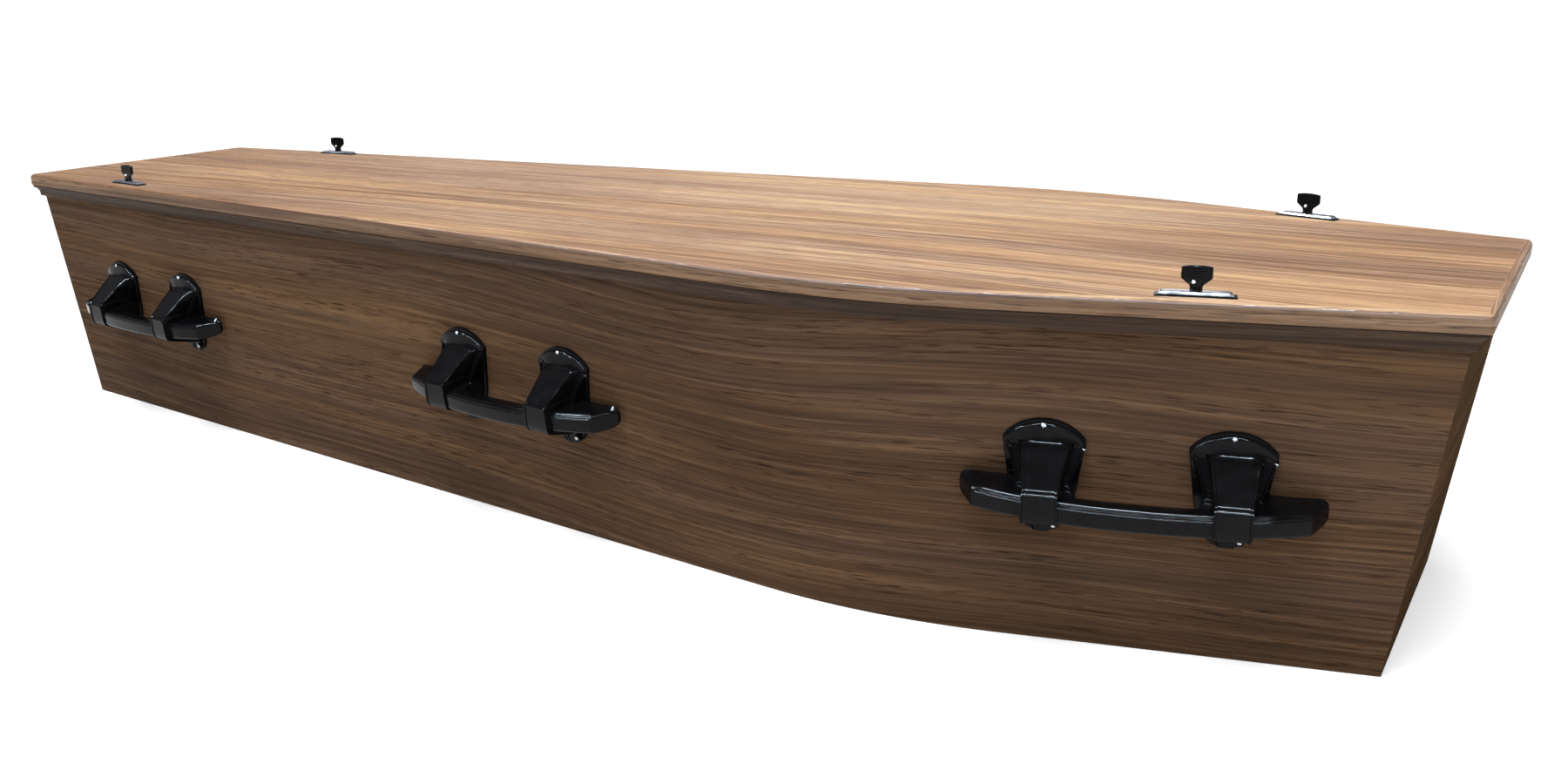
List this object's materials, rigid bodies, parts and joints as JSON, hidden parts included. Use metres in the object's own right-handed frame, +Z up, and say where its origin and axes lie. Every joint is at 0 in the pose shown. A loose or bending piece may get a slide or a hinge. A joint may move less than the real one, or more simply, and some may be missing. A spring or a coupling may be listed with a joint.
{
  "type": "wooden coffin",
  "caption": "Shouldered coffin of walnut-grain board with splayed sides, a lift-off lid with a rounded edge, black bar handles and lid fasteners with thumb turns.",
  "frame": {"origin": "on the ground, under the middle of the lid, on the coffin's plane of symmetry", "axes": "+X runs lengthwise from the foot end to the head end, +Z is up, and the near side faces -Y"},
  "size_m": [1.91, 0.6172, 0.3616],
  "materials": {
    "dark_walnut": "satin",
    "light_walnut": "satin",
    "black_plastic": "semi-gloss",
    "bright_metal": "polished"
  },
  "bodies": {
    "root": {"base_board": "dark_walnut", "side_board_near": "dark_walnut", "side_board_far": "dark_walnut", "foot_board": "dark_walnut", "head_board": "dark_walnut", "rim_near": "dark_walnut", "rim_far": "dark_walnut", "rim_foot": "dark_walnut", "rim_head": "dark_walnut", "lid_board": "light_walnut", "handle_near_foot_bar": "black_plastic", "handle_near_foot_bracket_1": "black_plastic", "handle_near_foot_bracket_2": "black_plastic", "handle_near_middle_bar": "black_plastic", "handle_near_middle_bracket_1": "black_plastic", "handle_near_middle_bracket_2": "black_plastic", "handle_near_head_bar": "black_plastic", "handle_near_head_bracket_1": "black_plastic", "handle_near_head_bracket_2": "black_plastic", "handle_far_foot_bar": "black_plastic", "handle_far_foot_bracket_1": "black_plastic", "handle_far_foot_bracket_2": "black_plastic", "handle_far_middle_bar": "black_plastic", "handle_far_middle_bracket_1": "black_plastic", "handle_far_middle_bracket_2": "black_plastic", "handle_far_head_bar": "black_plastic", "handle_far_head_bracket_1": "black_plastic", "handle_far_head_bracket_2": "black_plastic", "fastener_near_foot_plate": "bright_metal", "fastener_near_foot_turn": "black_plastic", "fastener_near_head_plate": "bright_metal", "fastener_near_head_turn": "black_plastic", "fastener_far_foot_plate": "bright_metal", "fastener_far_foot_turn": "black_plastic", "fastener_far_head_plate": "bright_metal", "fastener_far_head_turn": "black_plastic"}
  },
  "joints": []
}
